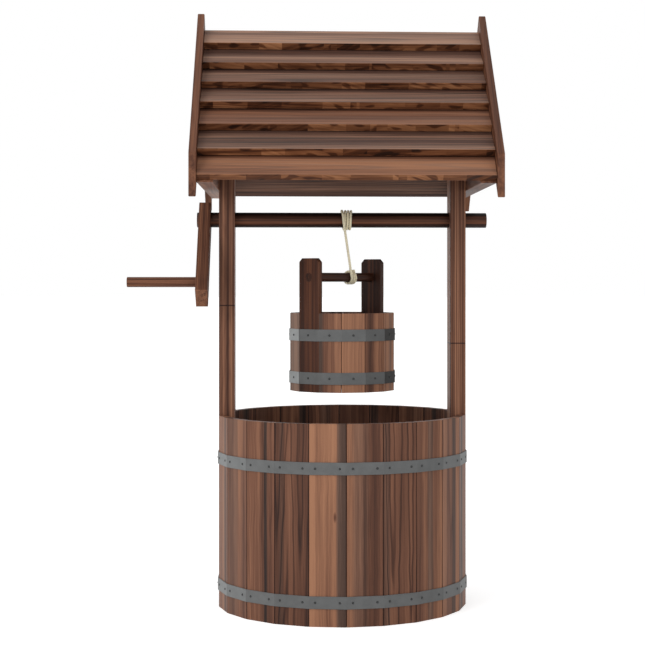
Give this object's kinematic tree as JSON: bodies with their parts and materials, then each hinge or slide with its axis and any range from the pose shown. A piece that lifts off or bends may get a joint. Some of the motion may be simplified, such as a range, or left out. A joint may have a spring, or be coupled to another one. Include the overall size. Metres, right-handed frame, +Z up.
{
  "type": "wishing well planter",
  "caption": "Wooden wishing well planter: stave barrel with steel hoops, two posts, lapped gable roof, and a crank windlass with a bucket on a rope.",
  "frame": {"origin": "middle of the base, on the ground", "axes": "+X along the crossbar away from the crank, +Y to the rear, +Z up"},
  "size_m": [0.6736, 0.5836, 1.1193],
  "materials": {
    "stave_wood": "stained softwood, satin",
    "post_wood": "stained softwood, satin",
    "frame_wood": "stained softwood, satin",
    "slat_wood": "stained softwood, satin",
    "dark_wood": "dark stained wood, satin",
    "floor_wood": "stained softwood, dull",
    "hoop_steel": "grey painted strip, satin",
    "zinc_screw": "dark plated",
    "rope_fibre": "twisted cotton"
  },
  "bodies": {
    "root": {"barge_screws": "zinc_screw", "barrel_floor": "floor_wood", "barrel_screws": "zinc_screw", "barrel_staves": "stave_wood", "floor_battens": "floor_wood", "front_slat_1": "slat_wood", "front_slat_2": "slat_wood", "front_slat_3": "slat_wood", "front_slat_4": "slat_wood", "front_slat_5": "slat_wood", "front_slat_6": "slat_wood", "front_slat_7": "slat_wood", "left_front_barge": "frame_wood", "left_front_rafter": "frame_wood", "left_post_lower": "post_wood", "left_post_upper": "post_wood", "left_rear_barge": "frame_wood", "left_rear_rafter": "frame_wood", "left_tie_rail": "frame_wood", "leg_screws": "zinc_screw", "lower_barrel_hoop": "hoop_steel", "post_dowels": "post_wood", "rail_screws": "zinc_screw", "rear_slat_1": "slat_wood", "rear_slat_2": "slat_wood", "rear_slat_3": "slat_wood", "rear_slat_4": "slat_wood", "rear_slat_5": "slat_wood", "rear_slat_6": "slat_wood", "rear_slat_7": "slat_wood", "right_front_barge": "frame_wood", "right_front_rafter": "frame_wood", "right_post_lower": "post_wood", "right_post_upper": "post_wood", "right_rear_barge": "frame_wood", "right_rear_rafter": "frame_wood", "right_tie_rail": "frame_wood", "upper_barrel_hoop": "hoop_steel"},
    "windlass": {"crossbar": "dark_wood", "crank_arm": "dark_wood", "crank_handle": "dark_wood", "crank_pin": "dark_wood", "rope_winding": "rope_fibre"},
    "rope": {"rope_drop": "rope_fibre"},
    "hitch": {"rope_hitch": "rope_fibre"},
    "bucket": {"bucket_dowel": "dark_wood", "bucket_floor": "floor_wood", "bucket_screws": "zinc_screw", "bucket_staves": "stave_wood", "front_ear": "dark_wood", "lower_bucket_hoop": "hoop_steel", "rear_ear": "dark_wood", "upper_bucket_hoop": "hoop_steel"}
  },
  "joints": [
    {"name": "windlass_turn", "type": "hinge", "parent": "root", "child": "windlass", "pos_m": [0, 0, 0.728], "axis": [1, 0, 0], "range_deg": [-57, 139.5]},
    {"name": "rope_swing", "type": "hinge", "parent": "root", "child": "rope", "pos_m": [0, 0, 0.728], "axis": [1, 0, 0], "range_deg": [-15, 15]},
    {"name": "bucket_lift", "type": "slide", "parent": "rope", "child": "hitch", "axis": [0, 0, 1], "range_m": [-0.0413, 0.0169], "deforming": ["rope_drop"]},
    {"name": "bucket_tilt", "type": "hinge", "parent": "hitch", "child": "bucket", "pos_m": [0, 0, 0.6191], "axis": [0.6592, 0.752, 0], "range_deg": [-30, 30]}
  ],
  "couplings": [
    {"joint": "bucket_lift", "follows": "windlass_turn", "m_per_rad": -0.01697}
  ]
}
